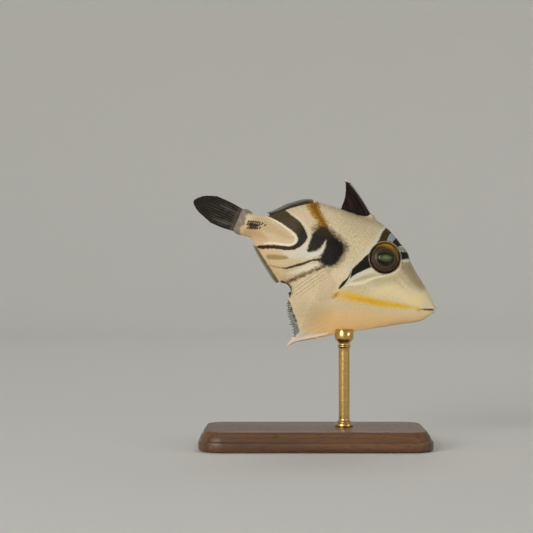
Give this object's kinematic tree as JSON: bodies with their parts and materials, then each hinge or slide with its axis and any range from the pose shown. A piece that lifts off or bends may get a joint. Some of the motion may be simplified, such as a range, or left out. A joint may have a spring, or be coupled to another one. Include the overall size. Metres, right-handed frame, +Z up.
{
  "type": "picasso triggerfish model",
  "caption": "Still, life-size model of a juvenile picasso triggerfish, pitched nose down, held on a plain display stand by a short rod under the belly.",
  "frame": {"origin": "centre of the stand's underside, which is the bottom centre of the whole part", "axes": "+X towards the fish's head, +Y towards the fish's left, +Z up"},
  "size_m": [0.0486, 0.026, 0.0536],
  "materials": {
    "skin": "painted skin, cream with dark brown, blue-white, ochre and yellow markings, satin",
    "fin_membrane": "translucent grey membrane with paler rays",
    "dark_spine": "rough dark grey-brown spine with a brown-black membrane",
    "eye": "glossy, dark ringed iris with a greenish pupil",
    "stand_wood": "dark hardwood, oiled satin",
    "stand_brass": "brushed satin"
  },
  "bodies": {
    "root": {"head": "skin", "torso": "skin", "pelvic_flap": "skin", "tail_base": "skin", "caudal_fin": "fin_membrane", "second_dorsal_fin": "fin_membrane", "anal_fin": "fin_membrane", "pectoral_fin_left": "fin_membrane", "pectoral_fin_right": "fin_membrane", "first_dorsal_fin": "dark_spine", "eye_left": "eye", "eye_right": "eye", "stand_base": "stand_wood", "stand_rod": "stand_brass"}
  },
  "joints": []
}
